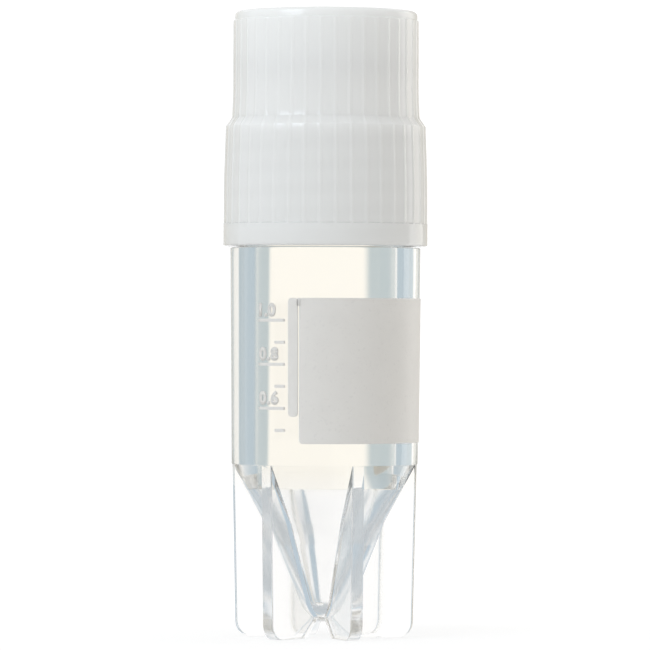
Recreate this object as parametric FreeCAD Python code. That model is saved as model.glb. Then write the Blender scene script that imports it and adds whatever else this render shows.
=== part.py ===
import FreeCAD, Part
import math
import os

# A self-standing cryogenic vial of 1.2 mL with its screw cap on.
#
# The vial is one polypropylene moulding: a round tube, a conical bottom, a star foot of six
# radial fins that the cone hangs between, and a neck with an external thread. The cap is a
# second moulding with fine grip ribs, and it presses a silicone washer onto the rim of the neck.
# A thin field of white ink on the tube is for writing on.
#
# Millimetres, Z up. The origin is on the axis, in the plane that the fins stand on. Azimuths
# are in degrees, counter-clockwise from +X. The front of the vial faces -Y.
#
# The thread itself is fine. The neck carries its envelope, a band of the major diameter, and
# the bore of the cap clears that band.

# ---- foot -------------------------------------------------------------------------------
FIN_COUNT = 6
FIN_THICKNESS = 0.85
FIN_AZIMUTH = -68.6            # first fin, the one to the right of the front
FIN_SETBACK = 0.05             # from the foot of the tube in to the outer edge of a fin
FIN_TAPER = 0.25               # how much further in that edge is where the fin stands
FIN_CORNER_ROUND = 1.0         # outer lower corner
FIN_EDGE_BREAK = 0.12          # long edges of each fin
RELIEF_RADIUS = 2.33           # the fins are cut away under the tip inside this radius
RELIEF_HEIGHT = 1.30           # height at which that cut meets the tip
RELIEF_ROUND = 0.5

# ---- conical bottom -----------------------------------------------------------------------
TIP_HEIGHT = 1.0               # lowest point of the cone above the floor
TIP_RADIUS = 2.09
TIP_WALL = 0.89
LOWER_HALF_ANGLE = 21.5
KINK_HEIGHT = 7.68             # the cone opens wider above this height
CONE_LEDGE = 0.10              # from the foot of the tube in to the top of the cone
CORNER_WALL = 0.617            # level, from the lower corner of the straight bore out to the cone
BORE_CONE_HALF_ANGLE = 30.0

# ---- tube and neck --------------------------------------------------------------------------
TUBE_FOOT_HEIGHT = 11.46
TUBE_FOOT_RADIUS = 6.19
TUBE_TOP_RADIUS = 6.33
SHOULDER_HEIGHT = 25.82
NECK_WALL = 0.60
NECK_HEIGHT = 11.38            # from the shoulder to the rim
RIM_BREAK = 0.15
THREAD_DEPTH = 0.50
THREAD_START = 2.32            # from the shoulder up to the thread
THREAD_LENGTH = 5.30

# ---- writing panel ----------------------------------------------------------------------------
PANEL_BOTTOM = 12.93
PANEL_TOP = 22.47
PANEL_START_AZIMUTH = -105.5   # its left edge, a little left of the front
PANEL_WRAP = 150.0             # degrees of the tube that it covers
PANEL_INK = 0.05
PANEL_CORNER_ROUND = 0.45

# ---- washer -----------------------------------------------------------------------------------
WASHER_THICKNESS = 0.80
WASHER_WIDTH = 1.80             # from the hole out to the edge
WASHER_SIDE_CLEARANCE = 0.05

# ---- cap ----------------------------------------------------------------------------------------
SKIRT_GAP = 0.10               # between the shoulder and the skirt of the closed cap
THREAD_CLEARANCE = 0.15        # round the thread band
NECK_CLEARANCE = 0.15          # round the plain neck above the thread
DECK_THICKNESS = 1.50
RECESS_DEPTH = 2.00            # pocket in the top for a coloured insert
RECESS_RADIUS = 4.60
RECESS_EDGE_BREAK = 0.20
SKIRT_TOP_RADIUS = 6.53        # just under the step
SKIRT_WALL = 0.58              # there, outside the thread
SKIRT_TAPER = 0.12             # how much wider the skirt is below its taper
SKIRT_STRAIGHT = 4.20          # from the open end up to where the taper starts
SKIRT_HEIGHT = 7.93            # from the open end to the step
SKIRT_EDGE_BREAK = 0.10
STEP_WIDTH = 0.40              # how much narrower the crown is over the sloping step
STEP_RISE = 0.58
CROWN_TAPER = 0.08             # how much narrower the crown is at its top than at the step
CROWN_ROUND = 0.30
BORE_STEP_ABOVE_THREAD = 0.40  # the bore of the cap narrows this far above the thread band

# ---- grip ribs --------------------------------------------------------------------------------
RIB_COUNT = 40
RIB_AZIMUTH = -48.3            # one rib, on the right of the front
RIB_WIDTH = 0.46               # at the wall
RIB_CREST_WIDTH = 0.20
RIB_HEIGHT = 0.13
FOOT_BAND = 1.48               # smooth band at the open end
FOOT_BAND_STEP = 0.14          # it stands out of the wall hardly more than the ribs
CROWN_BAND = 0.62              # smooth band above the ribs

# ---- sizes that follow from those above ---------------------------------------------------------
# The outside of the cap leads, because it has to pass through the cells of a box. The thread, the
# neck and the bore follow it inwards, each from the one outside it.
SKIRT_RADIUS = SKIRT_TOP_RADIUS + SKIRT_TAPER
FOOT_BAND_RADIUS = SKIRT_RADIUS + FOOT_BAND_STEP
CROWN_FOOT_RADIUS = SKIRT_TOP_RADIUS - STEP_WIDTH
CROWN_TOP_RADIUS = CROWN_FOOT_RADIUS - CROWN_TAPER
CAP_THREAD_BORE = SKIRT_TOP_RADIUS - SKIRT_WALL
THREAD_RADIUS = CAP_THREAD_BORE - THREAD_CLEARANCE
NECK_RADIUS = THREAD_RADIUS - THREAD_DEPTH
CAP_NECK_BORE = NECK_RADIUS + NECK_CLEARANCE
BORE_RADIUS = NECK_RADIUS - NECK_WALL
CONE_TOP_RADIUS = TUBE_FOOT_RADIUS - CONE_LEDGE
FIN_TOP_RADIUS = TUBE_FOOT_RADIUS - FIN_SETBACK
FIN_FOOT_RADIUS = FIN_TOP_RADIUS - FIN_TAPER
RIM_HEIGHT = SHOULDER_HEIGHT + NECK_HEIGHT
THREAD_BOTTOM = SHOULDER_HEIGHT + THREAD_START
THREAD_TOP = THREAD_BOTTOM + THREAD_LENGTH
CAP_BOTTOM = SHOULDER_HEIGHT + SKIRT_GAP
FOOT_BAND_TOP = CAP_BOTTOM + FOOT_BAND
TAPER_HEIGHT = CAP_BOTTOM + SKIRT_STRAIGHT
STEP_HEIGHT = CAP_BOTTOM + SKIRT_HEIGHT
CROWN_FOOT_HEIGHT = STEP_HEIGHT + STEP_RISE
DECK_BOTTOM = RIM_HEIGHT + WASHER_THICKNESS
DECK_TOP = DECK_BOTTOM + DECK_THICKNESS
CAP_TOP = DECK_TOP + RECESS_DEPTH
CROWN_TOP_HEIGHT = CAP_TOP - CROWN_ROUND
RIB_TOP = CAP_TOP - CROWN_BAND
WASHER_RADIUS = CAP_NECK_BORE - WASHER_SIDE_CLEARANCE
WASHER_HOLE_RADIUS = WASHER_RADIUS - WASHER_WIDTH
RIB_ROOT = SKIRT_WALL / 4        # how deep the ribs are rooted in the wall

ARC_BULGE = 1 - math.sqrt(0.5)   # from a corner to the middle of its round, as a share of the radius
AXIS_START = FreeCAD.Vector(0, 0, 0)
AXIS = FreeCAD.Vector(0, 0, 1)


def point(radius, height):
    """A point of a half section, in the XZ plane."""
    return FreeCAD.Vector(radius, 0, height)


def outline(corners):
    """A closed face in the XZ plane from corners (radius, height, rounding).

    Each corner with a rounding becomes an arc that is tangent to both of its sides.
    """
    edges = []
    ends = []
    for index, (radius, height, rounding) in enumerate(corners):
        here = point(radius, height)
        before = point(*corners[index - 1][:2]) - here
        after = point(*corners[(index + 1) % len(corners)][:2]) - here
        if rounding == 0:
            ends.append((here, here))
            continue
        half_angle = before.getAngle(after) / 2
        cut_back = rounding / math.tan(half_angle)
        bisector = (before.normalize() + after.normalize()).normalize()
        centre = here + bisector * (rounding / math.sin(half_angle))
        arc_start = here + before * cut_back
        arc_end = here + after * cut_back
        middle = centre - bisector * rounding
        edges.append(Part.Arc(arc_start, middle, arc_end).toShape())
        ends.append((arc_start, arc_end))
    for index, (start, end) in enumerate(ends):
        next_start = ends[(index + 1) % len(ends)][0]
        if end.distanceToPoint(next_start) > 1e-6:
            edges.append(Part.LineSegment(end, next_start).toShape())
    return Part.Face(Part.Wire(Part.__sortEdges__(edges)))


def turned(corners, degrees=360.0):
    """The solid of revolution of an outline round the axis of the vial."""
    return outline(corners).revolve(AXIS_START, AXIS, degrees)


def turned_to(shape, azimuth):
    """A copy of a shape that was made at azimuth 0, turned to another azimuth."""
    copy = shape.copy()
    copy.rotate(AXIS_START, AXIS, azimuth)
    return copy


def plate(corners, thickness):
    """An outline thickened evenly to both sides of the XZ plane."""
    solid = outline(corners).extrude(FreeCAD.Vector(0, thickness, 0))
    solid.translate(FreeCAD.Vector(0, -thickness / 2, 0))
    return solid


def wall_radius(height, low_radius, low, high_radius, high):
    """Radius at a height of a straight wall between two radii and heights."""
    return low_radius + (height - low) / (high - low) * (high_radius - low_radius)


def tip_corner(radius, half_angle):
    """Radius of the sharp corner whose rounding is a ball of this radius centred on the axis."""
    return radius * math.tan(math.radians(45 - half_angle / 2))


# ---- vial ---------------------------------------------------------------------------------------
def lower_cone_radius(height, ball_radius):
    """Radius at a height of the lower cone that is tangent to a ball in the tip."""
    angle = math.radians(LOWER_HALF_ANGLE)
    ball_height = TIP_HEIGHT + TIP_RADIUS
    return ball_radius / math.cos(angle) + (height - ball_height) * math.tan(angle)


def vial_outside():
    """The outer form without the fins: tip, cone, tube, shoulder, neck and thread band."""
    return turned([
        (0, TIP_HEIGHT, 0),
        (tip_corner(TIP_RADIUS, LOWER_HALF_ANGLE), TIP_HEIGHT, TIP_RADIUS),
        (lower_cone_radius(KINK_HEIGHT, TIP_RADIUS), KINK_HEIGHT, 0),
        (CONE_TOP_RADIUS, TUBE_FOOT_HEIGHT, 0),
        (TUBE_FOOT_RADIUS, TUBE_FOOT_HEIGHT, 0),
        (TUBE_TOP_RADIUS, SHOULDER_HEIGHT, 0),
        (NECK_RADIUS, SHOULDER_HEIGHT, 0),
        (NECK_RADIUS, THREAD_BOTTOM, 0),
        (THREAD_RADIUS, THREAD_BOTTOM, 0),
        (THREAD_RADIUS, THREAD_TOP, 0),
        (NECK_RADIUS, THREAD_TOP, 0),
        (NECK_RADIUS, RIM_HEIGHT - RIM_BREAK, 0),
        (NECK_RADIUS - RIM_BREAK, RIM_HEIGHT, 0),
        (0, RIM_HEIGHT, 0),
    ])


def vial_inside():
    """The space inside the vial: a straight bore on a cone with a round tip."""
    ball_radius = TIP_RADIUS - TIP_WALL
    tip_height = TIP_HEIGHT + TIP_WALL
    # The straight bore ends at the height where the outer cone leaves the corner its wall.
    kink_radius = lower_cone_radius(KINK_HEIGHT, TIP_RADIUS)
    rise_per_radius = (TUBE_FOOT_HEIGHT - KINK_HEIGHT) / (CONE_TOP_RADIUS - kink_radius)
    corner_height = KINK_HEIGHT + (BORE_RADIUS + CORNER_WALL - kink_radius) * rise_per_radius
    # The bore cone starts at that corner and meets the lower cone.
    steep = math.tan(math.radians(BORE_CONE_HALF_ANGLE))
    slight = math.tan(math.radians(LOWER_HALF_ANGLE))
    gap = BORE_RADIUS - lower_cone_radius(corner_height, ball_radius)
    bore_kink_height = corner_height - gap / (steep - slight)
    above_rim = RIM_HEIGHT + 1
    return turned([
        (0, tip_height, 0),
        (tip_corner(ball_radius, LOWER_HALF_ANGLE), tip_height, ball_radius),
        (lower_cone_radius(bore_kink_height, ball_radius), bore_kink_height, 0),
        (BORE_RADIUS, corner_height, 0),
        (BORE_RADIUS, above_rim, 0),
        (0, above_rim, 0),
    ])


def fin():
    """One fin of the star foot, at azimuth 0, from the axis outwards."""
    ball_height = TIP_HEIGHT + TIP_RADIUS
    meet_radius = math.sqrt(TIP_RADIUS ** 2 - (ball_height - RELIEF_HEIGHT) ** 2)
    solid = plate([
        (0, ball_height, 0),
        (meet_radius, RELIEF_HEIGHT, 0),
        (RELIEF_RADIUS, 0, RELIEF_ROUND),
        (FIN_FOOT_RADIUS, 0, FIN_CORNER_ROUND),
        (FIN_TOP_RADIUS, TUBE_FOOT_HEIGHT, 0),
        (0, TUBE_FOOT_HEIGHT, 0),
    ], FIN_THICKNESS)
    # Both long edges are broken, from the tip round the foot and up to the tube.
    long_edges = []
    for edge in solid.Edges:
        middle = edge.valueAt((edge.FirstParameter + edge.LastParameter) / 2)
        on_side = abs(abs(middle.y) - FIN_THICKNESS / 2) < 1e-6
        if on_side and middle.x > meet_radius and middle.z < TUBE_FOOT_HEIGHT - 1e-6:
            long_edges.append(edge)
    return solid.makeChamfer(FIN_EDGE_BREAK, long_edges)


def vial():
    """Tube, cone, neck and star foot as one moulding."""
    one_fin = fin()
    fins = []
    for index in range(FIN_COUNT):
        fins.append(turned_to(one_fin, FIN_AZIMUTH + index * 360.0 / FIN_COUNT))
    return vial_outside().multiFuse(fins).cut(vial_inside())


# ---- writing panel ------------------------------------------------------------------------------
def tube_radius(height):
    """Outer radius of the tube at a height, between its foot and its shoulder."""
    return wall_radius(height, TUBE_FOOT_RADIUS, TUBE_FOOT_HEIGHT, TUBE_TOP_RADIUS, SHOULDER_HEIGHT)


def panel_corner_cutter(azimuth, height, side, up):
    """What rounds one corner of the panel: a square prism less a cylinder, along the radius.

    side is +1 where the panel lies counter-clockwise of the corner, up is +1 where it lies above.
    """
    size = PANEL_CORNER_ROUND
    reach = TUBE_TOP_RADIUS + 1
    square = Part.makeBox(reach, size, size)
    rounding = Part.makeCylinder(size, reach, FreeCAD.Vector(0, size, size), FreeCAD.Vector(1, 0, 0))
    cutter = square.cut(rounding)
    if side < 0:
        cutter = cutter.mirror(AXIS_START, FreeCAD.Vector(0, 1, 0))
    if up < 0:
        cutter = cutter.mirror(AXIS_START, FreeCAD.Vector(0, 0, 1))
    cutter.translate(FreeCAD.Vector(0, 0, height))
    return turned_to(cutter, azimuth)


def writing_panel():
    """A field of ink that lies on the tube and wraps part of the way round it."""
    inner_bottom = tube_radius(PANEL_BOTTOM)
    inner_top = tube_radius(PANEL_TOP)
    sheet = turned([
        (inner_bottom, PANEL_BOTTOM, 0),
        (inner_bottom + PANEL_INK, PANEL_BOTTOM, 0),
        (inner_top + PANEL_INK, PANEL_TOP, 0),
        (inner_top, PANEL_TOP, 0),
    ], PANEL_WRAP)
    cutters = []
    for height, up in ((PANEL_BOTTOM, 1), (PANEL_TOP, -1)):
        cutters.append(panel_corner_cutter(0, height, 1, up))
        cutters.append(panel_corner_cutter(PANEL_WRAP, height, -1, up))
    return turned_to(sheet.cut(Part.makeCompound(cutters)), PANEL_START_AZIMUTH)


# ---- washer -------------------------------------------------------------------------------------
def sealing_washer():
    """A flat silicone ring under the deck of the cap, on the rim of the neck."""
    return turned([
        (WASHER_HOLE_RADIUS, RIM_HEIGHT, 0),
        (WASHER_RADIUS, RIM_HEIGHT, 0),
        (WASHER_RADIUS, DECK_BOTTOM, 0),
        (WASHER_HOLE_RADIUS, DECK_BOTTOM, 0),
    ])


# ---- cap ----------------------------------------------------------------------------------------
def cap_body():
    """The cap without its ribs: a foot band, a skirt, a sloping step, a narrower crown and a deck.

    The round at the top of the crown is laid out as two chords.
    """
    bore_step = THREAD_TOP + BORE_STEP_ABOVE_THREAD
    bore_slope = CAP_THREAD_BORE - CAP_NECK_BORE
    crown_bulge = CROWN_ROUND * ARC_BULGE
    return turned([
        (CAP_THREAD_BORE, CAP_BOTTOM, 0),
        (FOOT_BAND_RADIUS - SKIRT_EDGE_BREAK, CAP_BOTTOM, 0),
        (FOOT_BAND_RADIUS, CAP_BOTTOM + SKIRT_EDGE_BREAK, 0),
        (FOOT_BAND_RADIUS, FOOT_BAND_TOP, 0),
        (SKIRT_RADIUS, FOOT_BAND_TOP, 0),
        (SKIRT_RADIUS, TAPER_HEIGHT, 0),
        (SKIRT_TOP_RADIUS, STEP_HEIGHT, 0),
        (CROWN_FOOT_RADIUS, CROWN_FOOT_HEIGHT, 0),
        (CROWN_TOP_RADIUS, CROWN_TOP_HEIGHT, 0),
        (CROWN_TOP_RADIUS - crown_bulge, CAP_TOP - crown_bulge, 0),
        (CROWN_TOP_RADIUS - CROWN_ROUND, CAP_TOP, 0),
        (RECESS_RADIUS + RECESS_EDGE_BREAK, CAP_TOP, 0),
        (RECESS_RADIUS, CAP_TOP - RECESS_EDGE_BREAK, 0),
        (RECESS_RADIUS, DECK_TOP, 0),
        (0, DECK_TOP, 0),
        (0, DECK_BOTTOM, 0),
        (CAP_NECK_BORE, DECK_BOTTOM, 0),
        (CAP_NECK_BORE, bore_step + bore_slope, 0),
        (CAP_THREAD_BORE, bore_step, 0),
    ])


def rib():
    """One grip rib at azimuth 0: its section swept up the skirt, over the step and up the crown.

    The section is a trapezoid whose flanks run straight on into the wall. The rib starts inside
    the foot band.
    """
    root_width = RIB_WIDTH + (RIB_WIDTH - RIB_CREST_WIDTH) * RIB_ROOT / RIB_HEIGHT
    start = FOOT_BAND_TOP - RIB_HEIGHT
    crown = (CROWN_FOOT_RADIUS, CROWN_FOOT_HEIGHT, CROWN_TOP_RADIUS, CROWN_TOP_HEIGHT)
    line = Part.makePolygon([
        point(SKIRT_RADIUS, start),
        point(SKIRT_RADIUS, TAPER_HEIGHT),
        point(SKIRT_TOP_RADIUS, STEP_HEIGHT),
        point(CROWN_FOOT_RADIUS, CROWN_FOOT_HEIGHT),
        point(wall_radius(RIB_TOP, *crown), RIB_TOP),
    ])
    section = Part.makePolygon([
        FreeCAD.Vector(SKIRT_RADIUS - RIB_ROOT, -root_width / 2, start),
        FreeCAD.Vector(SKIRT_RADIUS + RIB_HEIGHT, -RIB_CREST_WIDTH / 2, start),
        FreeCAD.Vector(SKIRT_RADIUS + RIB_HEIGHT, RIB_CREST_WIDTH / 2, start),
        FreeCAD.Vector(SKIRT_RADIUS - RIB_ROOT, root_width / 2, start),
        FreeCAD.Vector(SKIRT_RADIUS - RIB_ROOT, -root_width / 2, start),
    ])
    square_corners = 1
    return line.makePipeShell([section], True, False, square_corners)


def cap():
    """The screw cap with its ring of ribs."""
    one_rib = rib()
    ribs = []
    for index in range(RIB_COUNT):
        ribs.append(turned_to(one_rib, RIB_AZIMUTH + index * 360.0 / RIB_COUNT))
    return cap_body().multiFuse(ribs)


NODES = {
    "vial": vial,
    "writing_panel": writing_panel,
    "sealing_washer": sealing_washer,
    "cap": cap,
}

os.makedirs("parts", exist_ok=True)
for name, build in NODES.items():
    build().exportStep(f"parts/{name}.step")
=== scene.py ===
import math

import bpy
import numpy as np
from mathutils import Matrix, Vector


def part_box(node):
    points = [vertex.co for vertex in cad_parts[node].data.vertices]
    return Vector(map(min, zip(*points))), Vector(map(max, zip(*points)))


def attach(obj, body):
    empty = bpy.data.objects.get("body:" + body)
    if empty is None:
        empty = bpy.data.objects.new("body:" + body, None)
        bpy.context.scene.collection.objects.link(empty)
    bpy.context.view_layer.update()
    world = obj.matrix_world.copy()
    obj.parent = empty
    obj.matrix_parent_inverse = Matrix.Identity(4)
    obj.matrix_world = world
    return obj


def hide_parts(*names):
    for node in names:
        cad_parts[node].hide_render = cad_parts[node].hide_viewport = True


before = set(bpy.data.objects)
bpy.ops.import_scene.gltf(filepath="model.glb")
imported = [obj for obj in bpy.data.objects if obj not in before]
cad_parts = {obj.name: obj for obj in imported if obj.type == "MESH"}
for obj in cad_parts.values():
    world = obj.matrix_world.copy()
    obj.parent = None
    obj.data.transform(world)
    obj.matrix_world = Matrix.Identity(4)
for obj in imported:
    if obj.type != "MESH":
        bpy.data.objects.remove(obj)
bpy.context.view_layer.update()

# ---- vial ----------------------------------------------------------------------------------------
# One moulding of natural polypropylene: a tube on a hollow cone, six radial fins that the cone
# hangs between, and a neck with an external thread of three turns. It is injected at the tip and
# unscrewed from the core, so the thread has round flanks and runs out softly at both ends.
MM = 0.001                      # sizes are in millimetres and become metres in a mesh or material
VIAL_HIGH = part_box("vial")[1]
RIM = VIAL_HIGH.z / MM
SHOULDER = 25.82
TUBE_TOP_RADIUS = VIAL_HIGH.x / MM
TUBE_FOOT = 11.46
TUBE_FOOT_RADIUS = 6.19
CONE_TOP_RADIUS = 6.09
CONE_KINK = 7.68                # above it the cone is wider than its lower half angle gives
CONE_HALF_ANGLE = math.radians(21.5)
TIP_HEIGHT = 1.0
TIP_RADIUS = 2.09
TIP_WALL = 0.89
BORE_RADIUS = 4.70
BORE_CORNER = 10.03             # where the bore turns into its cone
BORE_HALF_ANGLE = math.radians(30)
NECK_RADIUS = 5.30
THREAD_PITCH = 1.5
THREAD_DEPTH = 0.48
THREAD_FIRST = 28.75            # middle of the ridge where it starts, to the right
THREAD_TURNS = 2.6
THREAD_BASE = 0.95
THREAD_CREST = 0.25
THREAD_ROOM = 33.4              # top of the closely spaced rings that the thread is drawn on
VIAL_SIDES = 192
ON_WALL = 0.01                  # a thread grows from points that lie this near to its wall

FIN_COUNT = 6
FIN_AZIMUTH = math.radians(-68.6)
FIN_THICKNESS = 0.85
FIN_EDGE = 0.08
FIN_OUTLINE = [                 # radius, height, rounding, steps of the side that leads to it
    (1.35, 2.15, 0, 1), (1.10, 1.27, 0, 1), (2.33, 0.0, 0.5, 6), (5.89, 0.0, 1.0, 10),
    (6.14, 11.66, 0, 24), (5.40, 11.66, 0, 1),
    (4.90, 9.6, 0, 4), (3.40, 7.3, 0, 4), (1.60, 3.0, 0, 6),    # inside the wall of the cone
]

EDGE_ANGLE = math.radians(32)   # faces that turn by more than this meet in a sharp edge
POLYPROPYLENE_IOR = 1.49
FIN_POLISH, TUBE_POLISH = 0.09, 0.055       # narrow slots are hard to polish in the mould
FIN_COLOUR = (0.995, 0.992, 0.985, 1)
TUBE_COLOUR = (0.985, 0.966, 0.918, 1)
TUBE_CAST_FROM, TUBE_POLISH_FROM, TUBE_ALL_FROM = 9.0 * MM, 10.5 * MM, 12.0 * MM


def rounded(corners, closed=False):
    """Points (radius, height) along straight sides between corners.

    A corner is (radius, height, rounding, steps), and the side that leads to it gets that many
    steps. A rounding r puts an arc of radius r in the corner that touches both its sides: it starts
    r / tan(h) before the corner, where h is half the angle between the sides, and its points are
    the centre plus r times a unit vector that turns evenly from one side to the other.
    """
    at = np.array([corner[:2] for corner in corners], float)
    pieces = []
    for index, (_, _, rounding, steps) in enumerate(corners):
        first, last = index == 0, index == len(corners) - 1
        here = at[index]
        if rounding and (closed or not (first or last)):
            before = at[index - 1] - here
            after = at[(index + 1) % len(corners)] - here
            before /= np.linalg.norm(before)
            after /= np.linalg.norm(after)
            half = math.acos(np.clip(before @ after, -1, 1)) / 2
            bisector = (before + after) / np.linalg.norm(before + after)
            centre = here + bisector * rounding / math.sin(half)
            start = here + before * rounding / math.tan(half) - centre
            end = here + after * rounding / math.tan(half) - centre
            sweep = math.pi - 2 * half
            share = np.linspace(0, 1, max(3, math.ceil(sweep / math.radians(15))))[:, None]
            arc = np.sin((1 - share) * sweep) * start + np.sin(share * sweep) * end
            arc = centre + arc / math.sin(sweep)
        else:
            arc = here[None]
        if pieces and steps > 1:
            share = np.linspace(0, 1, steps + 1)[1:-1, None]
            pieces.append(pieces[-1][-1] * (1 - share) + arc[0] * share)
        pieces.append(arc)
    return np.concatenate(pieces)


def grid_mesh(name, rings, first_pole=None, last_pole=None, ring_closed=True, flat_ends=False):
    """A mesh over a grid of points, rings[row, column], with quads between rows and columns.

    The last column joins the first where ring_closed. A pole closes the first or the last ring with
    a fan of triangles, and flat_ends closes both with one flat face each.
    """
    rows, columns = rings.shape[:2]
    points = rings.reshape(-1, 3)
    number = np.arange(rows * columns).reshape(rows, columns)
    ends = [number[0, ::-1].tolist(), number[-1].tolist()] if flat_ends else []
    if ring_closed:
        number = np.concatenate([number, number[:, :1]], axis=1)
    quads = np.stack([number[:-1, :-1], number[:-1, 1:], number[1:, 1:], number[1:, :-1]], axis=-1)
    faces = quads.reshape(-1, 4).tolist()
    for pole, ring, order in ((first_pole, number[0], 1), (last_pole, number[-1], -1)):
        if pole is None:
            continue
        pole_number = np.full(len(ring) - 1, len(points))
        points = np.concatenate([points, np.array([pole], float)])
        fan = np.stack([pole_number, ring[1:], ring[:-1]], axis=-1)
        faces += fan[:, ::order].tolist()
    mesh = bpy.data.meshes.new(name)
    mesh.from_pydata((points * MM).tolist(), [], faces + ends)
    mesh.update()
    return mesh


def turned(profile, sides, extra=None):
    """Rings of a surface of revolution round Z.

    The point (r, z) of the profile stands at (r cos a, r sin a, z) at azimuth a. extra(a, r, z),
    where given, is added to r.
    """
    azimuth = np.arange(sides) * 2 * math.pi / sides
    radius = np.repeat(profile[:, :1], sides, axis=1)
    height = np.repeat(profile[:, 1:], sides, axis=1)
    azimuth = np.repeat(azimuth[None], len(profile), axis=0)
    if extra is not None:
        radius = radius + extra(azimuth, radius, height)
    return np.stack([radius * np.cos(azimuth), radius * np.sin(azimuth), height], axis=-1)


def ridge(azimuth, height, first, turns, base, crest):
    """A helical ridge of a right-hand thread, from 0 at its foot to 1 on its crest.

    A strand that has made t turns stands at first + pitch * t. The ridge falls smoothly from half
    its crest width to half its base width away from there, and runs out over a third of a turn at
    each end.
    """
    along = (height - first) / THREAD_PITCH - azimuth / (2 * math.pi)
    nearest = np.round(along)
    turn = nearest + azimuth / (2 * math.pi)
    offset = np.abs(along - nearest) * THREAD_PITCH
    flank = np.clip((base / 2 - offset) / (base / 2 - crest / 2), 0, 1)
    runout = np.clip(turn * 3, 0, 1) * np.clip((turns - turn) * 3, 0, 1)
    return flank * flank * (3 - 2 * flank) * np.sqrt(runout * (2 - runout))


def cone_radius(height, ball_radius):
    """Radius at a height of the lower cone that touches a ball in the tip.

    A cone of half angle h that touches a ball of radius b has the radius b / cos h level with the
    ball's middle, and widens by tan h for every millimetre up.
    """
    ball_height = TIP_HEIGHT + TIP_RADIUS
    at_ball = ball_radius / math.cos(CONE_HALF_ANGLE)
    return at_ball + (height - ball_height) * math.tan(CONE_HALF_ANGLE)


def ball(radius, from_angle, to_angle, steps):
    """Points (r sin a, middle - r cos a) on a ball in the tip, a being the angle up from below."""
    angle = np.linspace(from_angle, to_angle, steps)
    middle = TIP_HEIGHT + TIP_RADIUS
    return np.stack([radius * np.sin(angle), middle - radius * np.cos(angle)], axis=-1)


def vial_profile():
    """Half section of the vial from the outside of the tip over the rim to the inside of the tip.

    The bore's cone starts wide, at its own half angle from the corner down, and goes on as the
    lower cone from the kink, the height at which both have the same radius.
    """
    touch = math.pi / 2 - CONE_HALF_ANGLE
    bore_ball = TIP_RADIUS - TIP_WALL
    narrowing = math.tan(BORE_HALF_ANGLE) - math.tan(CONE_HALF_ANGLE)
    bore_kink = BORE_CORNER - (BORE_RADIUS - cone_radius(BORE_CORNER, bore_ball)) / narrowing
    outside = ball(TIP_RADIUS, 0, touch, 14)[1:]
    inside = ball(bore_ball, touch, 0, 10)[:-1]
    walls = rounded([
        (*outside[-1], 0, 1),
        (cone_radius(CONE_KINK, TIP_RADIUS), CONE_KINK, 3.0, 8),
        (CONE_TOP_RADIUS, TUBE_FOOT, 0, 6),
        (TUBE_FOOT_RADIUS, TUBE_FOOT, 0.04, 1),
        (TUBE_TOP_RADIUS, SHOULDER, 0.08, 10),
        (NECK_RADIUS, SHOULDER, 0.15, 2),
        (NECK_RADIUS, THREAD_FIRST - THREAD_BASE / 2, 0, 3),
        (NECK_RADIUS, THREAD_ROOM, 0, 76),
        (NECK_RADIUS, RIM, 0.2, 4),
        (BORE_RADIUS, RIM, 0.12, 2),
        (BORE_RADIUS, BORE_CORNER, 0.25, 16),
        (cone_radius(bore_kink, bore_ball), bore_kink, 1.5, 4),
        (*inside[0], 0, 6),
    ])
    return np.concatenate([outside[:-1], walls, inside[1:]])


def fin_rings(azimuth):
    """Rings across the thickness of one fin, each a copy of its outline.

    The edge is a quarter round on both sides: where it has turned by an angle, the outline lies
    edge * (1 - sin angle) further in, and edge * (1 - cos angle) below the flat side. At a corner
    that turns by 2 h, a point moves in by the inset / cos h, so that both sides move in alike.
    """
    outline = rounded(FIN_OUTLINE, closed=True)
    ahead = np.roll(outline, -1, axis=0) - outline
    ahead /= np.linalg.norm(ahead, axis=1, keepdims=True)
    behind = np.roll(ahead, 1, axis=0)
    inward = np.stack([-(ahead + behind)[:, 1], (ahead + behind)[:, 0]], axis=-1)
    cosine = np.sqrt((1 + (ahead * behind).sum(axis=1, keepdims=True)) / 2)
    inward /= np.linalg.norm(inward, axis=1, keepdims=True) * cosine
    angle = np.linspace(0, math.pi / 2, 5)
    inset = FIN_EDGE * (1 - np.sin(angle))
    side = FIN_THICKNESS / 2 - FIN_EDGE * (1 - np.cos(angle))
    inset = np.concatenate([inset, inset[::-1]])
    side = np.concatenate([side, -side[::-1]])
    flat = outline[None] + inset[:, None, None] * inward[None]
    radius, height = flat[..., 0], flat[..., 1]
    across = np.repeat(side[:, None], len(outline), axis=1)
    x = radius * math.cos(azimuth) - across * math.sin(azimuth)
    y = radius * math.sin(azimuth) + across * math.cos(azimuth)
    return np.stack([x, y, height], axis=-1)


def placed(name, mesh, material=None):
    """An object for a mesh, smooth but for its sharp edges."""
    mesh.polygons.foreach_set("use_smooth", np.ones(len(mesh.polygons), bool))
    mesh.set_sharp_from_angle(angle=EDGE_ANGLE)
    if material is not None:
        mesh.materials.clear()
        mesh.materials.append(material)
    piece = bpy.data.objects.new(name, mesh)
    bpy.context.scene.collection.objects.link(piece)
    return piece


def keep_flats(piece):
    """Keeps large faces optically flat, so that only the small ones at their edges look rounded."""
    flats = piece.modifiers.new("flats", "WEIGHTED_NORMAL")
    flats.mode = "FACE_AREA"
    flats.weight = 100
    flats.keep_sharp = True


def neck_thread(azimuth, radius, height):
    """The thread on the neck: its depth times the ridge, where the profile is on the neck."""
    on_neck = np.abs(radius - NECK_RADIUS) < ON_WALL
    ridges = ridge(azimuth, height, THREAD_FIRST, THREAD_TURNS, THREAD_BASE, THREAD_CREST)
    return on_neck * ridges * THREAD_DEPTH


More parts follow.
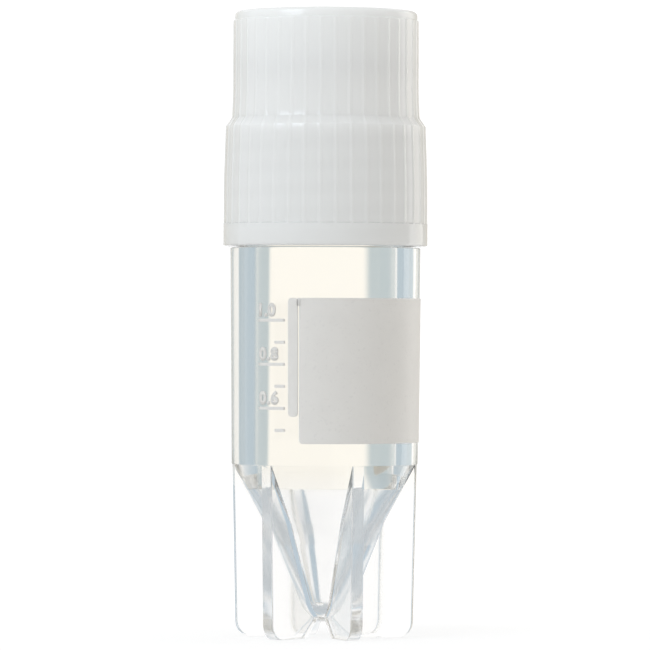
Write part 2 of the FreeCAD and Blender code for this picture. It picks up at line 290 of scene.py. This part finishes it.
def joined_solid(name, body, plates):
    """The union of a closed body and some closed plates, as one clean mesh."""
    body_object = placed(name + "_body", body)
    plate_objects = [placed(f"{name}_plate_{index}", plate) for index, plate in enumerate(plates)]
    for plate_object in plate_objects:
        union = body_object.modifiers.new("join", "BOOLEAN")
        union.operation = "UNION"
        union.solver = "MANIFOLD"
        union.object = plate_object
    graph = bpy.context.evaluated_depsgraph_get()
    mesh = bpy.data.meshes.new_from_object(body_object.evaluated_get(graph))
    for temporary in [body_object, *plate_objects]:
        bpy.data.objects.remove(temporary)
    mesh.name = name
    return mesh


def add_node(tree, kind, inputs=None, **settings):
    """A new shader node. An input, by name or number, is a plain value or a socket to link from."""
    node = tree.nodes.new("ShaderNode" + kind)
    for setting, value in settings.items():
        setattr(node, setting, value)
    for name, value in (inputs or {}).items():
        if isinstance(value, bpy.types.NodeSocket):
            tree.links.new(value, node.inputs[name])
        else:
            node.inputs[name].default_value = value
    return node


def smooth_step(tree, value, low, high, low_value=0.0, high_value=1.0):
    """The output of a Map Range node that eases from low_value at low to high_value at high."""
    limits = {"Value": value, "From Min": low, "From Max": high,
              "To Min": low_value, "To Max": high_value}
    return add_node(tree, "MapRange", limits, interpolation_type="SMOOTHSTEP").outputs["Result"]


def calculated(tree, operation, *inputs):
    """The output of a Math node."""
    return add_node(tree, "Math", dict(enumerate(inputs)), operation=operation).outputs[0]


def noise(tree, vector, scale, detail, roughness=0.5):
    """The value of a Noise Texture, round 0.5, with about as many blotches a metre as its scale."""
    inputs = {"Vector": vector, "Scale": scale, "Detail": detail, "Roughness": roughness}
    return add_node(tree, "TexNoise", inputs).outputs["Fac"]


def mixed_colour(tree, share, first, second):
    """The first colour where share is 0 and the second where it is 1."""
    return add_node(tree, "Mix", {0: share, 6: first, 7: second}, data_type="RGBA").outputs[2]


def object_place(tree):
    """The Object coordinates of a material."""
    return add_node(tree, "TexCoord").outputs["Object"]


def new_plastic(name, plain_values):
    """A new material, its node tree, and its shader with the values that are plain all over."""
    material = bpy.data.materials.new(name)
    material.use_nodes = True
    shader = material.node_tree.nodes["Principled BSDF"]
    for value_name, value in plain_values.items():
        shader.inputs[value_name].default_value = value
    return material, material.node_tree, shader


def moulded_surface():
    """Node group for what an injection mould leaves on plastic.

    Tone is a slow drift of colour from flow and wall thickness, about 1. Roughness is the polish
    of the mould with long faint drag marks of ejection and fine handling scuffs. Height, in metres,
    is the waviness of sink and a fine grain.
    """
    tree = bpy.data.node_groups.new("moulded_surface", "ShaderNodeTree")
    for name in ("Polish", "Scuff", "Drift", "Wave"):
        tree.interface.new_socket(name=name, in_out="INPUT", socket_type="NodeSocketFloat")
    for name in ("Tone", "Roughness", "Height"):
        tree.interface.new_socket(name=name, in_out="OUTPUT", socket_type="NodeSocketFloat")
    given = tree.nodes.new("NodeGroupInput").outputs
    place = object_place(tree)
    upright = add_node(tree, "Mapping", {"Vector": place, "Scale": (1, 1, 0.12)}).outputs["Vector"]
    flow = noise(tree, place, 140, 2)
    grain = noise(tree, place, 9000, 1)
    drag = noise(tree, upright, 2600, 2, 0.6)
    scuffs = smooth_step(tree, noise(tree, upright, 900, 5, 0.75), 0.60, 0.72)
    drift = calculated(tree, "SUBTRACT", flow, 0.5)
    tone = calculated(tree, "MULTIPLY_ADD", drift, given["Drift"], 1.0)
    dragged = calculated(tree, "MULTIPLY_ADD", drag, 0.5, 0.75)
    polish = calculated(tree, "MULTIPLY", dragged, given["Polish"])
    rough = calculated(tree, "MULTIPLY_ADD", scuffs, given["Scuff"], polish)
    wavy = calculated(tree, "MULTIPLY_ADD", grain, 0.08, flow)
    height = calculated(tree, "MULTIPLY", wavy, given["Wave"])
    results = tree.nodes.new("NodeGroupOutput").inputs
    for name, socket in (("Tone", tone), ("Roughness", rough), ("Height", height)):
        tree.links.new(socket, results[name])
    return tree


def bumpy(tree, height):
    """The normal of a surface that is raised by a height in metres."""
    bump = add_node(tree, "Bump", {"Height": height, "Strength": 1.0, "Distance": 1.0})
    return bump.outputs["Normal"]


def moulded(material, polish, scuff, drift, wave):
    """The moulded surface in a material, its roughness and bump joined to the shader: its tone."""
    tree = material.node_tree
    values = {"Polish": polish, "Scuff": scuff, "Drift": drift, "Wave": wave}
    surface = add_node(tree, "Group", values, node_tree=MOULDED_SURFACE)
    shader = tree.nodes["Principled BSDF"]
    tree.links.new(surface.outputs["Roughness"], shader.inputs["Roughness"])
    tree.links.new(bumpy(tree, surface.outputs["Height"]), shader.inputs["Normal"])
    return surface.outputs["Tone"]


def toned(tree, tone, colour):
    """A colour, plain or from a socket, multiplied by a tone."""
    mix = add_node(tree, "VectorMath", {0: colour, 1: tone}, operation="MULTIPLY")
    return mix.outputs["Vector"]


def clear_plastic():
    """Natural polypropylene: clear, with a cream cast in the tube that thin fins hardly have."""
    material, tree, shader = new_plastic("natural_polypropylene", {
        "Transmission Weight": 1.0, "IOR": POLYPROPYLENE_IOR})
    height = add_node(tree, "SeparateXYZ", {0: object_place(tree)}).outputs["Z"]
    polish = smooth_step(tree, height, TUBE_POLISH_FROM, TUBE_ALL_FROM, FIN_POLISH, TUBE_POLISH)
    in_tube = smooth_step(tree, height, TUBE_CAST_FROM, TUBE_ALL_FROM)
    cast = mixed_colour(tree, in_tube, FIN_COLOUR, TUBE_COLOUR)
    tone = moulded(material, polish, scuff=0.05, drift=0.02, wave=2.0e-6)
    tree.links.new(toned(tree, tone, cast), shader.inputs["Base Color"])
    return material


MOULDED_SURFACE = moulded_surface()

vial_body = grid_mesh("vial_body", turned(vial_profile(), VIAL_SIDES, neck_thread),
                      first_pole=(0, 0, TIP_HEIGHT), last_pole=(0, 0, TIP_HEIGHT + TIP_WALL))
fin_azimuths = [FIN_AZIMUTH + index * 2 * math.pi / FIN_COUNT for index in range(FIN_COUNT)]
fins = [grid_mesh("fin", fin_rings(azimuth), flat_ends=True) for azimuth in fin_azimuths]
vial = placed("vial_moulding", joined_solid("vial_moulding", vial_body, fins), clear_plastic())
keep_flats(vial)
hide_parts("vial")
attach(vial, "vial")

# ---- white print ---------------------------------------------------------------------------------
# A writing panel with a narrow bar beside it, and a graduation in steps of 0.1 mL. All are of one
# matt white ink, screen-printed on the tube in a coat of a few hundredths of a millimetre.
INK = 0.05
INK_LIFT = 0.004                      # keeps the back of the ink off the face of the tube
PANEL_LOW, PANEL_HIGH = 12.93, 22.47
PANEL_LEFT, PANEL_RIGHT = -105.5, 44.5          # azimuths in degrees, as for all of the print
PANEL_CORNER = 0.25
BAR_LOW, BAR_HIGH = 14.70, 22.47
BAR_LEFT, BAR_RIGHT = -112.4, -106.3
BAR_CORNER = 0.24
BRIDGE_LOW = 21.95                    # the bridge joins the bar to the panel at their top
BRIDGE_LEFT, BRIDGE_RIGHT = BAR_RIGHT - 0.5, PANEL_LEFT + 0.8
BRIDGE_CORNER = 0.02
MARK_COUNT = 6
MARK_RIGHT = -114.6
MARK_SHORT, MARK_LONG = 7.0, 19.0
MARK_WIDTH = 0.20
MARK_CORNER = 0.06
FIRST_MARK = 13.80
FIRST_TENTHS = 5                      # the first mark is at 0.5 mL
MARK_SPACING = 1.441                  # a tenth of a millilitre in the bore
NUMBER_SIZE = 1.12
NUMBER_BOLDNESS = 0.06                # how far the outline of a digit is pushed out
NUMBER_SPACING = 1.12
NUMBER_INDENT = 0.5                   # degrees from the left end of its mark
NUMBER_GAP = 0.22                     # from the middle of its mark
INK_THICK_COLOUR = (0.914, 0.877, 0.835, 1)
INK_THIN_COLOUR = (0.852, 0.816, 0.78, 1)
INK_RELIEF = 4e-6                     # metres that the weave of the screen stands up


def tube_radius(height):
    """Outer radius of the tube at a height: straight from its foot to its shoulder."""
    share = (height - TUBE_FOOT) / (SHOULDER - TUBE_FOOT)
    return TUBE_FOOT_RADIUS + share * (TUBE_TOP_RADIUS - TUBE_FOOT_RADIUS)


def on_tube(azimuth, height, lift):
    """Points (r cos a, r sin a, z), with r the tube's radius at z plus a lift, and a in degrees."""
    radius = tube_radius(height) + lift
    angle = np.radians(azimuth)
    return np.stack([radius * np.cos(angle), radius * np.sin(angle), height], axis=-1)


def printed_patch(left, right, low, high, corner, columns, rows):
    """A rounded field on the tube, as rows of points from left to right.

    The field's half width narrows near its top and bottom by r - sqrt(r^2 - d^2), with r the
    corner's rounding and d how far the row has gone into it. The rows lie closer together in the
    corners: an even share s of the height becomes s - 0.85 sin(2 pi s) / (2 pi).
    """
    share = np.linspace(0, 1, rows)
    share = share - np.sin(2 * np.pi * share) / (2 * np.pi) * 0.85
    height = low + (high - low) * share
    into = np.clip(corner - np.minimum(height - low, high - height), 0, corner)
    narrowing = corner - np.sqrt(np.maximum(corner ** 2 - into ** 2, 0))
    narrowing = np.degrees(narrowing / tube_radius(height))
    across = np.linspace(-1, 1, columns)[None]
    half = (right - left) / 2 - narrowing[:, None]
    azimuth = (left + right) / 2 + across * half
    return on_tube(azimuth, np.repeat(height[:, None], columns, axis=1), INK_LIFT + INK)


def printed_mesh(name, field):
    """The outer face of a printed field, from its rows of points."""
    return grid_mesh(name, field, ring_closed=False)


def inked(name, mesh):
    """A printed piece: a thin shell of ink that lies on the tube and turns with the vial."""
    piece = placed(name, mesh, WHITE_INK)
    shell = piece.modifiers.new("ink", "SOLIDIFY")
    shell.thickness = INK * MM
    shell.offset = -1
    keep_flats(piece)
    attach(piece, "vial")
    return piece


def joined_mesh(name, meshes):
    """One mesh from several, which are removed."""
    points, faces, start = [], [], 0
    for mesh in meshes:
        flat = np.empty(len(mesh.vertices) * 3)
        mesh.vertices.foreach_get("co", flat)
        points.append(flat.reshape(-1, 3))
        faces += [[start + index for index in face.vertices] for face in mesh.polygons]
        start += len(mesh.vertices)
        bpy.data.meshes.remove(mesh)
    joined = bpy.data.meshes.new(name)
    joined.from_pydata(np.concatenate(points).tolist(), [], faces)
    joined.update()
    return joined


def printed_number(words, azimuth, height):
    """A number on the tube, upright, with its lower left corner at an azimuth and a height.

    A point of the flat number that lies x to the right and y up goes to the azimuth plus x over
    the tube's radius, in degrees, and to the height plus y.
    """
    text = bpy.data.curves.new("number", "FONT")
    text.body = words
    text.size = NUMBER_SIZE
    text.offset = NUMBER_BOLDNESS
    text.space_character = NUMBER_SPACING
    text.resolution_u = 4
    holder = bpy.data.objects.new("number", text)
    flat = bpy.data.meshes.new_from_object(holder)
    bpy.data.objects.remove(holder)
    bpy.data.curves.remove(text)
    points = np.empty(len(flat.vertices) * 3)
    flat.vertices.foreach_get("co", points)
    points = points.reshape(-1, 3)
    up = height + points[:, 1] - points[:, 1].min()
    turn = azimuth + np.degrees((points[:, 0] - points[:, 0].min()) / tube_radius(height))
    flat.vertices.foreach_set("co", (on_tube(turn, up, INK_LIFT + INK) * MM).ravel())
    return flat


def white_ink():
    """Matt screen ink: the weave of the screen, a mottled coat, and specks where it is thin."""
    material, tree, shader = new_plastic("white_ink", {
        "Subsurface Weight": 0.6, "Subsurface Radius": (1, 1, 1), "Subsurface Scale": 0.3 * MM})
    place = object_place(tree)
    mottle = noise(tree, place, 900, 3, 0.6)
    specks = smooth_step(tree, noise(tree, place, 5200, 2), 0.60, 0.75)
    thinness = calculated(tree, "MULTIPLY_ADD", mottle, 0.7, specks)
    colour = mixed_colour(tree, thinness, INK_THICK_COLOUR, INK_THIN_COLOUR)
    tree.links.new(colour, shader.inputs["Base Color"])
    tree.links.new(smooth_step(tree, mottle, 0.3, 0.7, 0.42, 0.55), shader.inputs["Roughness"])
    weave = calculated(tree, "MULTIPLY", noise(tree, place, 12000, 1), INK_RELIEF)
    tree.links.new(bumpy(tree, weave), shader.inputs["Normal"])
    return material


WHITE_INK = white_ink()
panel_field = printed_patch(PANEL_LEFT, PANEL_RIGHT, PANEL_LOW, PANEL_HIGH, PANEL_CORNER, 151, 61)
panel = inked("writing_panel_print", printed_mesh("writing_panel_print", panel_field))
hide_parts("writing_panel")

bar_field = printed_patch(BAR_LEFT, BAR_RIGHT, BAR_LOW, BAR_HIGH, BAR_CORNER, 9, 40)
bridge_field = printed_patch(BRIDGE_LEFT, BRIDGE_RIGHT, BRIDGE_LOW, BAR_HIGH, BRIDGE_CORNER, 5, 5)
bar_parts = [printed_mesh("bar", bar_field), printed_mesh("bridge", bridge_field)]
inked("panel_bar_print", joined_mesh("panel_bar_print", bar_parts))

marks = []
for step in range(MARK_COUNT):
    tenths = FIRST_TENTHS + step
    mark_height = FIRST_MARK + step * MARK_SPACING
    mark_low, mark_high = mark_height - MARK_WIDTH / 2, mark_height + MARK_WIDTH / 2
    numbered = tenths % 2 == 0
    mark_left = MARK_RIGHT - (MARK_LONG if numbered else MARK_SHORT)
    mark_field = printed_patch(mark_left, MARK_RIGHT, mark_low, mark_high, MARK_CORNER, 13, 7)
    marks.append(printed_mesh("mark", mark_field))
    if numbered:
        number = f"{tenths / 10:.1f}"
        marks.append(printed_number(number, mark_left + NUMBER_INDENT, mark_height + NUMBER_GAP))
inked("graduation_print", joined_mesh("graduation_print", marks))

# ---- washer --------------------------------------------------------------------------------------
# A ring punched from translucent silicone sheet. The cap holds it under its deck and presses it on
# the rim of the neck. Its shape is the frame's own, and only its finish is made here.
SILICONE_COLOUR = (0.78, 0.78, 0.755)
SILICONE_IOR = 1.41


def silicone():
    """Satin translucent silicone with a faint milky drift."""
    material, tree, shader = new_plastic("silicone", {
        "IOR": SILICONE_IOR,
        "Subsurface Weight": 0.6, "Subsurface Radius": (1, 1, 0.9), "Subsurface Scale": 0.8 * MM})
    tone = moulded(material, polish=0.38, scuff=0.15, drift=0.06, wave=3.0e-6)
    tree.links.new(toned(tree, tone, SILICONE_COLOUR), shader.inputs["Base Color"])
    return material


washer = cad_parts["sealing_washer"]
washer.data.materials.clear()
washer.data.materials.append(silicone())

# ---- cap -----------------------------------------------------------------------------------------
# The second moulding, of white translucent polypropylene: a skirt with an internal thread on a
# smooth foot band, a sloping step, a narrower crown with a pocket in its top, and forty soft grip
# ribs that run from the band up over the step and nearly to the top.
CAP_LOW, CAP_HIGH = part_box("cap")
CAP_TOP = CAP_HIGH.z / MM
CAP_FOOT = CAP_LOW.z / MM
DECK_TOP = 39.5
DECK_BOTTOM = 38.0
RECESS_RADIUS = 4.60
CAP_BORE = 5.95
CAP_NECK_BORE = 5.45
BORE_STEP = 33.84
FOOT_BAND_RADIUS = CAP_HIGH.x / MM
FOOT_BAND_TOP = 27.40
SKIRT_RADIUS = 6.725
SKIRT_KNEE = 30.12        # above it the skirt tapers to the step
SKIRT_TOP_RADIUS = 6.605
STEP = 33.85
CROWN_FOOT = 34.43
CROWN_FOOT_RADIUS = 6.20
CROWN_WAIST = 36.0        # below it the crown flares to the step
CROWN_RADIUS = 6.13
CROWN_BAND_RADIUS = 6.07  # the smooth band above the ribs
RIB_COUNT = 40
RIB_AZIMUTH = math.radians(-48.3)
RIB_HEIGHT = 0.048
RIB_WIDTH = 0.37
RIB_TOP = 40.88
RIB_END = 0.12            # length of the rounding at a rib's top
RIB_ROOT = 0.2            # how far down in the foot band a rib starts
CAP_SIDES = RIB_COUNT * 16
CAP_THREAD_FIRST = THREAD_FIRST - THREAD_PITCH / 2      # its ridge runs between those of the neck
CAP_THREAD_TURNS = 3.4
CAP_THREAD_BASE = 0.8
CAP_THREAD_CREST = 0.2
CAP_THREAD_DEPTH = 0.42

CAP_COLOUR = (0.846, 0.848, 0.842)
SKIRT_PAINTED_SHADE = 0.95        # painted shade: how much darker the skirt is painted than the crown
THREAD_PAINTED_SHADE = 0.938      # painted shade, darker still where a thread stands behind the wall
PAINTED_GLOW = 0.5                # painted glow of the bore, in place of light that soaks through the wall


def cap_profile():
    """Half section of the cap, from the underside of its deck round the foot to the deck's top."""
    return rounded([
        (0.4, DECK_BOTTOM, 0, 1),
        (CAP_NECK_BORE, DECK_BOTTOM, 0, 4),
        (CAP_NECK_BORE, BORE_STEP + CAP_BORE - CAP_NECK_BORE, 0, 3),
        (CAP_BORE, BORE_STEP, 0, 1),
        (CAP_BORE, CAP_FOOT, 0.1, 56),
        (FOOT_BAND_RADIUS, CAP_FOOT, 0.12, 1),
        (FOOT_BAND_RADIUS, FOOT_BAND_TOP, 0.05, 3),
        (SKIRT_RADIUS, FOOT_BAND_TOP, 0.05, 1),
        (SKIRT_RADIUS, SKIRT_KNEE, 40, 3),
        (SKIRT_TOP_RADIUS, STEP, 0.10, 4),
        (CROWN_FOOT_RADIUS, CROWN_FOOT, 0.2, 2),
        (CROWN_RADIUS, CROWN_WAIST, 20, 2),
        (CROWN_RADIUS, RIB_TOP - RIB_END, 0, 5),
        (CROWN_RADIUS, RIB_TOP, 0.03, 6),
        (CROWN_BAND_RADIUS, RIB_TOP + 0.05, 0.05, 1),
        (CROWN_BAND_RADIUS, CAP_TOP, 0.3, 1),
        (RECESS_RADIUS, CAP_TOP, 0.2, 2),
        (RECESS_RADIUS, DECK_TOP, 0.25, 4),
        (0.4, DECK_TOP, 0, 6),
    ])


def rib_relief(azimuth, radius, height):
    """How far the ribs stand out and the internal thread stands in.

    Across, a rib is a raised cosine of its width. It comes straight up out of the foot band, which
    nothing stands out of, and ends in a quarter round near the top.
    """
    spacing = 2 * math.pi / RIB_COUNT
    away = (azimuth - RIB_AZIMUTH + spacing / 2) % spacing - spacing / 2
    across = 0.5 + 0.5 * np.cos(np.clip(away * radius / (RIB_WIDTH / 2), -1, 1) * math.pi)
    end = np.clip((RIB_TOP - height) / RIB_END, 0, 1)
    outside = (height > FOOT_BAND_TOP - RIB_ROOT) & (radius > CAP_BORE + ON_WALL)
    along = np.sqrt(end * (2 - end)) * outside
    ribs = np.minimum(RIB_HEIGHT * across * along, FOOT_BAND_RADIUS - radius)
    on_bore = np.abs(radius - CAP_BORE) < ON_WALL
    ridges = ridge(azimuth, height, CAP_THREAD_FIRST, CAP_THREAD_TURNS,
                   CAP_THREAD_BASE, CAP_THREAD_CREST)
    return ribs - on_bore * ridges * CAP_THREAD_DEPTH


def white_plastic():
    """Translucent white polypropylene with painted shade: the skirt is painted darker than the
    crown, and darker still where the threads stand behind it.

    The painted shade is darkest on a helix, at the heights pitch * a / (2 pi) plus whole pitches
    for the azimuth a. Height less pitch * a / (2 pi), folded at half a pitch, is the distance from
    it.
    """
    material, tree, shader = new_plastic("white_polypropylene", {
        "IOR": POLYPROPYLENE_IOR, "Emission Strength": PAINTED_GLOW,
        "Subsurface Weight": 1.0, "Subsurface Radius": (1, 1, 1), "Subsurface Scale": 1.1 * MM})
    place = object_place(tree)
    split = add_node(tree, "SeparateXYZ", {0: place}).outputs
    # Painted shade in the colour: the skirt is darker than the crown, most of all on the threads'
    # helix.
    turn = calculated(tree, "ARCTAN2", split["Y"], split["X"])
    rise = calculated(tree, "MULTIPLY_ADD", turn, -THREAD_PITCH * MM / (2 * math.pi), split["Z"])
    strand = calculated(tree, "PINGPONG", rise, THREAD_PITCH / 2 * MM)
    thread_painted_shade = smooth_step(tree, strand, 0.1 * MM, 0.6 * MM, THREAD_PAINTED_SHADE, SKIRT_PAINTED_SHADE)
    above_skirt = smooth_step(tree, split["Z"], (BORE_STEP - 0.8) * MM, (BORE_STEP + 0.2) * MM)
    painted_shade = add_node(tree, "Mix", {0: above_skirt, 2: thread_painted_shade, 3: 1.0}).outputs[0]
    tone = moulded(material, polish=0.10, scuff=0.10, drift=0.03, wave=2.0e-6)
    tone_with_painted_shade = calculated(tree, "MULTIPLY", painted_shade, tone)
    tree.links.new(toned(tree, tone_with_painted_shade, CAP_COLOUR), shader.inputs["Base Color"])
    # Painted glow: the bore emits light, seen only through the vial, in place of light that soaks
    # through the wall.
    across = add_node(tree, "VectorMath", {0: place, 1: (1, 1, 0)}, operation="MULTIPLY").outputs[0]
    radius = add_node(tree, "VectorMath", {0: across}, operation="LENGTH").outputs["Value"]
    in_bore = smooth_step(tree, radius, (CAP_BORE + 0.1) * MM, (CAP_BORE + 0.3) * MM, 1, 0)
    seen_through = add_node(tree, "LightPath").outputs["Is Transmission Ray"]
    painted_glow = calculated(tree, "MULTIPLY", in_bore, seen_through)
    tree.links.new(painted_glow, shader.inputs["Emission Color"])
    return material


cap_mesh = grid_mesh("cap_moulding", turned(cap_profile(), CAP_SIDES, rib_relief),
                     first_pole=(0, 0, DECK_BOTTOM), last_pole=(0, 0, DECK_TOP))
cap = placed("cap_moulding", cap_mesh, white_plastic())
keep_flats(cap)
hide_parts("cap")
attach(cap, "cap")

# ---- studio --------------------------------------------------------------------------------------
# A white sheet close behind the vial, the open room to both sides of it, white walls beyond, and a
# pale table below. Two soft lamps stand to the left and right, and a level camera with a long lens.
LIGHT_BOUNCES = 48                # light crosses many faces of the clear plastic
scene = bpy.context.scene
scene.view_settings.view_transform = "Standard"
scene.cycles.max_bounces = LIGHT_BOUNCES
scene.cycles.transmission_bounces = LIGHT_BOUNCES
scene.cycles.glossy_bounces = LIGHT_BOUNCES

CAMERA_DISTANCE = 0.334           # metres
CAMERA_HEIGHT = 0.0207
CAMERA_ROLL = math.radians(-0.21)
LENS = 278.4
camera_data = bpy.data.cameras.new("camera")
camera_data.lens = LENS
camera_data.sensor_width = 36
camera_data.clip_start = 0.01
camera = bpy.data.objects.new("camera", camera_data)
camera.location = (0, -CAMERA_DISTANCE, CAMERA_HEIGHT)
camera.rotation_euler = (math.radians(90), CAMERA_ROLL, 0)
scene.collection.objects.link(camera)
scene.camera = camera

SHEET_TURN = -3.4                 # degrees from straight behind the vial, to the left
SHEET_HALF_WIDTH = 11.8
WALL_START = 61.0                 # degrees from the middle of the sheet to the white walls
EDGE_BLUR = 1.5                   # half the width of each soft edge
GAP_END = (0.32, 0.44)            # sine of the elevation over which the open room fades out
TABLE_EDGE = (-0.45, -0.20)       # sine of the elevation over which the table starts
GAP_COLOUR = (0.455, 0.55, 0.625, 1)
MIRRORED_GAP = (0.66, 0.62, 0.53, 1)
TABLE_COLOUR = (0.52, 0.56, 0.59, 1)
ROOM_STRENGTH = 1.03
AMBIENT_COLOUR = (1.0, 0.995, 0.97, 1)
AMBIENT_STRENGTH = 0.69
WHITE_STRENGTH = 1.1


def studio_world():
    """The room round the vial: a colour by the bearing and the elevation.

    Clear and glossy faces show the room, matt ones get an even ambient light, and the camera
    sees plain white behind the vial. The open room to the sides of the sheet is cool seen through
    the plastic, and warmer where a face only mirrors it.
    """
    world = bpy.data.worlds.new("studio")
    world.use_nodes = True
    tree = world.node_tree
    tree.nodes.clear()
    direction = add_node(tree, "TexCoord").outputs["Generated"]
    split = add_node(tree, "SeparateXYZ", {0: direction}).outputs
    path = add_node(tree, "LightPath").outputs

    bearing = calculated(tree, "ARCTAN2", split["X"], split["Y"])
    turned_bearing = calculated(tree, "SUBTRACT", bearing, math.radians(SHEET_TURN))
    off_sheet = calculated(tree, "ABSOLUTE", turned_bearing)
    past_sheet = smooth_step(tree, off_sheet, math.radians(SHEET_HALF_WIDTH - EDGE_BLUR),
                             math.radians(SHEET_HALF_WIDTH + EDGE_BLUR))
    short_of_wall = smooth_step(tree, off_sheet, math.radians(WALL_START - EDGE_BLUR),
                                math.radians(WALL_START + EDGE_BLUR), 1, 0)
    between = calculated(tree, "MULTIPLY", past_sheet, short_of_wall)
    steepness = calculated(tree, "ABSOLUTE", split["Z"])
    gap = calculated(tree, "MULTIPLY", between, smooth_step(tree, steepness, *GAP_END, 1, 0))

    mirrored = calculated(tree, "SUBTRACT", path["Is Glossy Ray"], path["Is Transmission Ray"])
    gap_colour = mixed_colour(tree, mirrored, GAP_COLOUR, MIRRORED_GAP)
    walls = mixed_colour(tree, gap, (1, 1, 1, 1), gap_colour)
    below = smooth_step(tree, split["Z"], *TABLE_EDGE, 1, 0)
    room_colour = mixed_colour(tree, below, walls, TABLE_COLOUR)

    def background(colour, strength):
        return add_node(tree, "Background", {"Color": colour, "Strength": strength}).outputs[0]

    room = background(room_colour, ROOM_STRENGTH)
    ambient = background(AMBIENT_COLOUR, AMBIENT_STRENGTH)
    white = background((1, 1, 1, 1), WHITE_STRENGTH)
    shows_room = calculated(tree, "MAXIMUM", path["Is Glossy Ray"], path["Is Transmission Ray"])
    lit = add_node(tree, "MixShader", {0: shows_room, 1: ambient, 2: room}).outputs[0]
    seen = add_node(tree, "MixShader", {0: path["Is Camera Ray"], 1: lit, 2: white}).outputs[0]
    add_node(tree, "OutputWorld", {"Surface": seen})
    return world


scene.world = studio_world()

FLOOR_RADII = (300.0, 90.0, 30.0, 0.5)
FLOOR_SHADE = 0.25                # how much of the floor shows next to the vial, to keep its shadow
FLOOR_FADE = (8, 45)              # distances over which it fades into the white round it
FLOOR_COLOUR = (0.9, 0.9, 0.9, 1)


def pale_floor():
    """A matt pale floor that shows near the vial and clears away from it, to the camera alone."""
    material = bpy.data.materials.new("floor")
    material.use_nodes = True
    tree = material.node_tree
    tree.nodes.clear()
    distance = add_node(tree, "VectorMath", {0: object_place(tree)}, operation="LENGTH")
    shown = smooth_step(tree, distance.outputs["Value"], FLOOR_FADE[0] * MM, FLOOR_FADE[1] * MM,
                        FLOOR_SHADE, 0.0)
    to_camera = add_node(tree, "LightPath").outputs["Is Camera Ray"]
    share = calculated(tree, "MULTIPLY", shown, to_camera)
    pale = add_node(tree, "BsdfDiffuse", {"Color": FLOOR_COLOUR}).outputs[0]
    clear = add_node(tree, "BsdfTransparent").outputs[0]
    surface = add_node(tree, "MixShader", {0: share, 1: clear, 2: pale}).outputs[0]
    add_node(tree, "OutputMaterial", {"Surface": surface})
    return material


floor_rings = turned(np.array([[radius, 0.0] for radius in FLOOR_RADII]), 64)
floor = placed("floor", grid_mesh("floor", floor_rings, last_pole=(0, 0, 0)), pale_floor())

LAMPS_AIM = 0.02                  # metres up the vial that the lamps face


def soft_lamp(name, place, width, height, power, colour):
    """A rectangular lamp that faces the middle of the vial and isn't seen through the plastic."""
    lamp_data = bpy.data.lights.new(name, "AREA")
    lamp_data.shape = "RECTANGLE"
    lamp_data.size = width
    lamp_data.size_y = height
    lamp_data.energy = power
    lamp_data.color = colour
    lamp = bpy.data.objects.new(name, lamp_data)
    lamp.location = place
    aim = np.array([0, 0, LAMPS_AIM]) - np.array(place)
    tilt = math.atan2(np.hypot(aim[0], aim[1]), -aim[2])
    lamp.rotation_euler = (tilt, 0, math.atan2(-aim[0], aim[1]))
    lamp.visible_transmission = False
    scene.collection.objects.link(lamp)


soft_lamp("key", place=(-0.36, -0.36, 0.28), width=0.28, height=0.28,
          power=1.14, colour=(0.80, 0.90, 1.0))
soft_lamp("side", place=(0.34, 0.25, 0.03), width=0.25, height=0.45,
          power=0.36, colour=(1.0, 0.98, 0.95))
